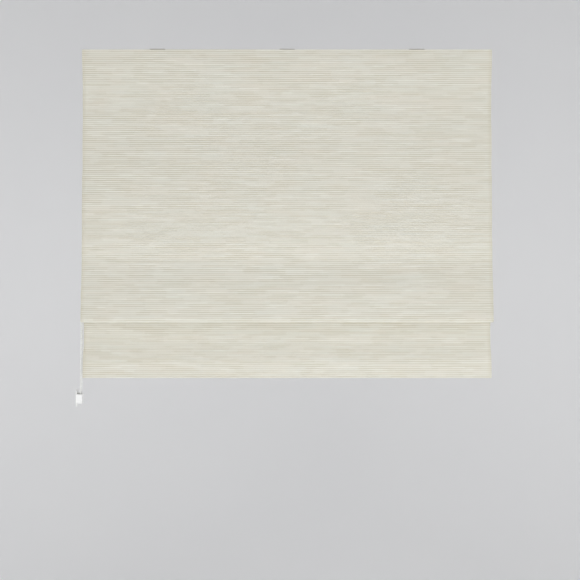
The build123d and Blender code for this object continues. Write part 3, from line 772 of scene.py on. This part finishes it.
def between(x, start, end, step=8 * MM):
    """Points of a straight run at one x, from (y, z) to (y, z)."""
    start, end = np.array(start), np.array(end)
    count = max(2, math.ceil(np.linalg.norm(end - start) / step) + 1)
    return [(x, *(start + (end - start) * k / (count - 1))) for k in range(count)]


def cord_runs(x):
    """The straight runs of one lift cord, by the stretch of the blind that they pass."""
    upper = (ring_y["upper"], upper_rod.z + LEAN)
    middle = (ring_y["middle"], middle_rod.z + LEAN)
    mouth = (nozzle_y, rail_floor - MM)
    return {
        "top_bay": [*between(x, spool_exit, mouth), *between(x, mouth, upper)[1:]],
        "second_bay": between(x, upper, middle),
        "fold_back": between(x, middle, (ring_y["lower"], lower_rod.z - 12 * MM), 2 * MM),
    }


def wound_turns(x):
    """The turns on one spool, from where the cord leaves it."""
    points = []
    for a in leaving - np.linspace(0, 2 * math.pi * WIND_TURNS, 26 * WIND_TURNS):
        aside = (leaving - a) / (2 * math.pi) * WIND_PITCH
        points.append((x + aside, shaft.y + WIND_R * math.cos(a), shaft.z + WIND_R * math.sin(a)))
    return points


def cord_piece(name, number, points, sides=10):
    piece = mesh_object(name, [(*tube(points, CORD_R, sides), 0)], [CAD_MATERIALS["cord"]], 60)
    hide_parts(f"lift_cord_{number}")
    return piece


for number, x in enumerate(cord_xs, 1):
    runs = cord_runs(x)
    follow(cord_piece(f"cord_{number}_top_bay", number, runs["top_bay"]), "top_bay")
    run = cord_piece(f"cord_{number}_second_bay", number, runs["second_bay"])
    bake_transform(run)
    run = cord_piece(f"cord_{number}_fold_back", number, runs["fold_back"])
    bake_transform(run)
    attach(cord_piece(f"cord_{number}_turns", number, wound_turns(x), 8), "shaft")

# ---- bead chain ----
BEAD_R = 2.25 * MM
BEAD_PITCH = 6 * MM
CHAIN_R = 12 * BEAD_PITCH / (2 * math.pi)  # twelve beads go round each wheel
LINK_R = 0.55 * MM
top_axis = np.array(middle_of("sprocket"))
foot_axis = np.array(middle_of("tensioner_wheel"))
span = np.linalg.norm(top_axis - foot_axis)
rise = (top_axis - foot_axis) / span
loop_length = 2 * span + 2 * math.pi * CHAIN_R
bead_count = round(loop_length / BEAD_PITCH)


def chain_point(length):
    """A place on the loop: up the window side, over the sprocket, down the room side, round the tensioner."""
    length %= loop_length
    over = math.pi * CHAIN_R
    if length < span:
        return foot_axis + rise * length + np.array([0, CHAIN_R, 0])
    if length < span + over:
        a = (length - span) / CHAIN_R
        return top_axis + CHAIN_R * (rise * math.sin(a) + np.array([0, math.cos(a), 0]))
    if length < 2 * span + over:
        return top_axis - rise * (length - span - over) - np.array([0, CHAIN_R, 0])
    a = (length - 2 * span - over) / CHAIN_R
    return foot_axis - CHAIN_R * (rise * math.sin(a) + np.array([0, math.cos(a), 0]))


def ball(center, r, rings=6, sides=12):
    """One bead, as points and faces."""
    points = [center + np.array([0, 0, r])]
    for i in range(1, rings):
        a = math.pi * i / rings
        for k in range(sides):
            b = 2 * math.pi * k / sides
            outward = np.array([math.sin(a) * math.cos(b), math.sin(a) * math.sin(b), math.cos(a)])
            points.append(center + r * outward)
    points.append(center - np.array([0, 0, r]))
    last = len(points) - 1
    faces = [[0, 1 + k, 1 + (k + 1) % sides] for k in range(sides)]
    for i in range(rings - 2):
        for k in range(sides):
            a, b = 1 + i * sides + k, 1 + i * sides + (k + 1) % sides
            faces.append([a, a + sides, b + sides, b])
    start = 1 + (rings - 2) * sides
    return np.array(points), faces + [[last, start + (k + 1) % sides, start + k] for k in range(sides)]


first_bead = span + CHAIN_R * math.pi / 2
beads = [ball(chain_point(first_bead + loop_length * k / bead_count), BEAD_R) for k in range(bead_count)]
link_points = [chain_point(loop_length * k / (2 * bead_count)) for k in range(2 * bead_count + 1)]
link = tube(link_points, LINK_R, 6)
chain = mesh_object("bead_chain_beads", [(*joined(beads), 0), (*link, 0)], [chain_plastic], 60)
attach(chain, "headrail")
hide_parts("bead_chain")

# ---- stage, light and camera ----
FLOOR_Z = -3.2
STAGE_FLAT = 5.0  # the flat floor's radius
STAGE_BEND = 2.0  # the bend's radius, where the floor turns up
STAGE_TOP = 5.0


def studio_bowl():
    """A pale floor that turns up into a round backdrop, so that every view has the same plain ground."""
    profile = [(0.01, FLOOR_Z), (STAGE_FLAT / 2, FLOOR_Z), (STAGE_FLAT, FLOOR_Z)]
    for a in np.radians(np.arange(7.5, 91, 7.5)):
        profile.append((STAGE_FLAT + STAGE_BEND * math.sin(a), FLOOR_Z + STAGE_BEND * (1 - math.cos(a))))
    profile.append((STAGE_FLAT + STAGE_BEND, STAGE_TOP))
    sides = 96
    points, faces = [], []
    for r, z in profile:
        points += [(r * math.cos(a), r * math.sin(a), z) for a in np.linspace(0, 2 * math.pi, sides, False)]
    for i in range(len(profile) - 1):
        for k in range(sides):
            a, b = i * sides + k, i * sides + (k + 1) % sides
            faces.append([a, b, b + sides, a + sides])
    faces.append(list(range(sides))[::-1])
    material, tree, shader, (x, y, z) = start_material("studio_paint", Roughness=0.95)
    tone = blend_colour(tree, noise(tree, x, y, z, scale=1.5), (0.83, 0.83, 0.835), (0.85, 0.85, 0.85))
    tree.links.new(tone, shader.inputs["Base Color"])
    floor = mesh_object("studio_floor", [(np.array(points), faces, 0)], [material], 60)
    floor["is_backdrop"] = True


def soft_box(name, place, target, size, power, colour=(1, 1, 1)):
    """A square soft light at a place, aimed at a target."""
    light = bpy.data.lights.new(name, "AREA")
    light.shape = "SQUARE"
    light.size = size
    light.energy = power
    light.color = colour
    made = bpy.data.objects.new(name, light)
    made.location = place
    made.rotation_euler = (Vector(target) - Vector(place)).to_track_quat("-Z", "Y").to_euler()
    made.visible_camera = False
    bpy.context.scene.collection.objects.link(made)


def wall_washes():
    """Six lights in a ring that brighten the backdrop evenly."""
    for k in range(6):
        around = Vector((math.cos(math.pi * k / 3), math.sin(math.pi * k / 3), 0))
        soft_box(f"wash_{k + 1}", 3.2 * around + Vector((0, 0, -1.2)), 7 * around, 2.0, 21)


studio_bowl()
center = (cad_low + cad_high) / 2
soft_box("key", (2.4, -4.3, -1.5), center, 2.2, 47)
soft_box("fill", (-2.6, -4.1, -1.5), center, 2.2, 34)
soft_box("front", (0, -4.6, -1.25), center, 1.8, 26)
soft_box("foot", (0.3, -2.0, -1.8), (0, 0, cad_low.z), 1.5, 12, (0.93, 0.96, 1.0))
soft_box("back_left", (-3.0, 3.8, -0.1), center, 2.4, 44)
soft_box("back_right", (3.4, 3.6, -0.1), center, 2.4, 50)
wall_washes()

world = bpy.data.worlds.new("studio")
world.use_nodes = True
sky = world.node_tree.nodes["Background"]
sky.inputs["Color"].default_value = (0.97, 0.98, 1.0, 1)
sky.inputs["Strength"].default_value = 0.42
bpy.context.scene.world = world

# The camera looks level and straight at the blind from just below its middle height. The small shift puts the
# blind where the picture has it.
CAMERA_DISTANCE = 3.7
CAMERA_Z = -0.616
PICTURE_WIDTH = 1.694  # what the picture spans at the headrail
SENSOR = 36
camera = bpy.data.objects.new("camera", bpy.data.cameras.new("camera"))
camera.data.sensor_width = SENSOR
camera.data.lens = SENSOR * CAMERA_DISTANCE / PICTURE_WIDTH
camera.data.shift_x = 0.0051
camera.data.shift_y = -0.0534
camera.data.clip_end = 60
camera.location = (0, top_y - CAMERA_DISTANCE, CAMERA_Z)
camera.rotation_euler = (math.pi / 2, 0, 0)
bpy.context.scene.collection.objects.link(camera)
bpy.context.scene.camera = camera
bpy.context.scene.view_settings.view_transform = "Standard"

low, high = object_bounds()
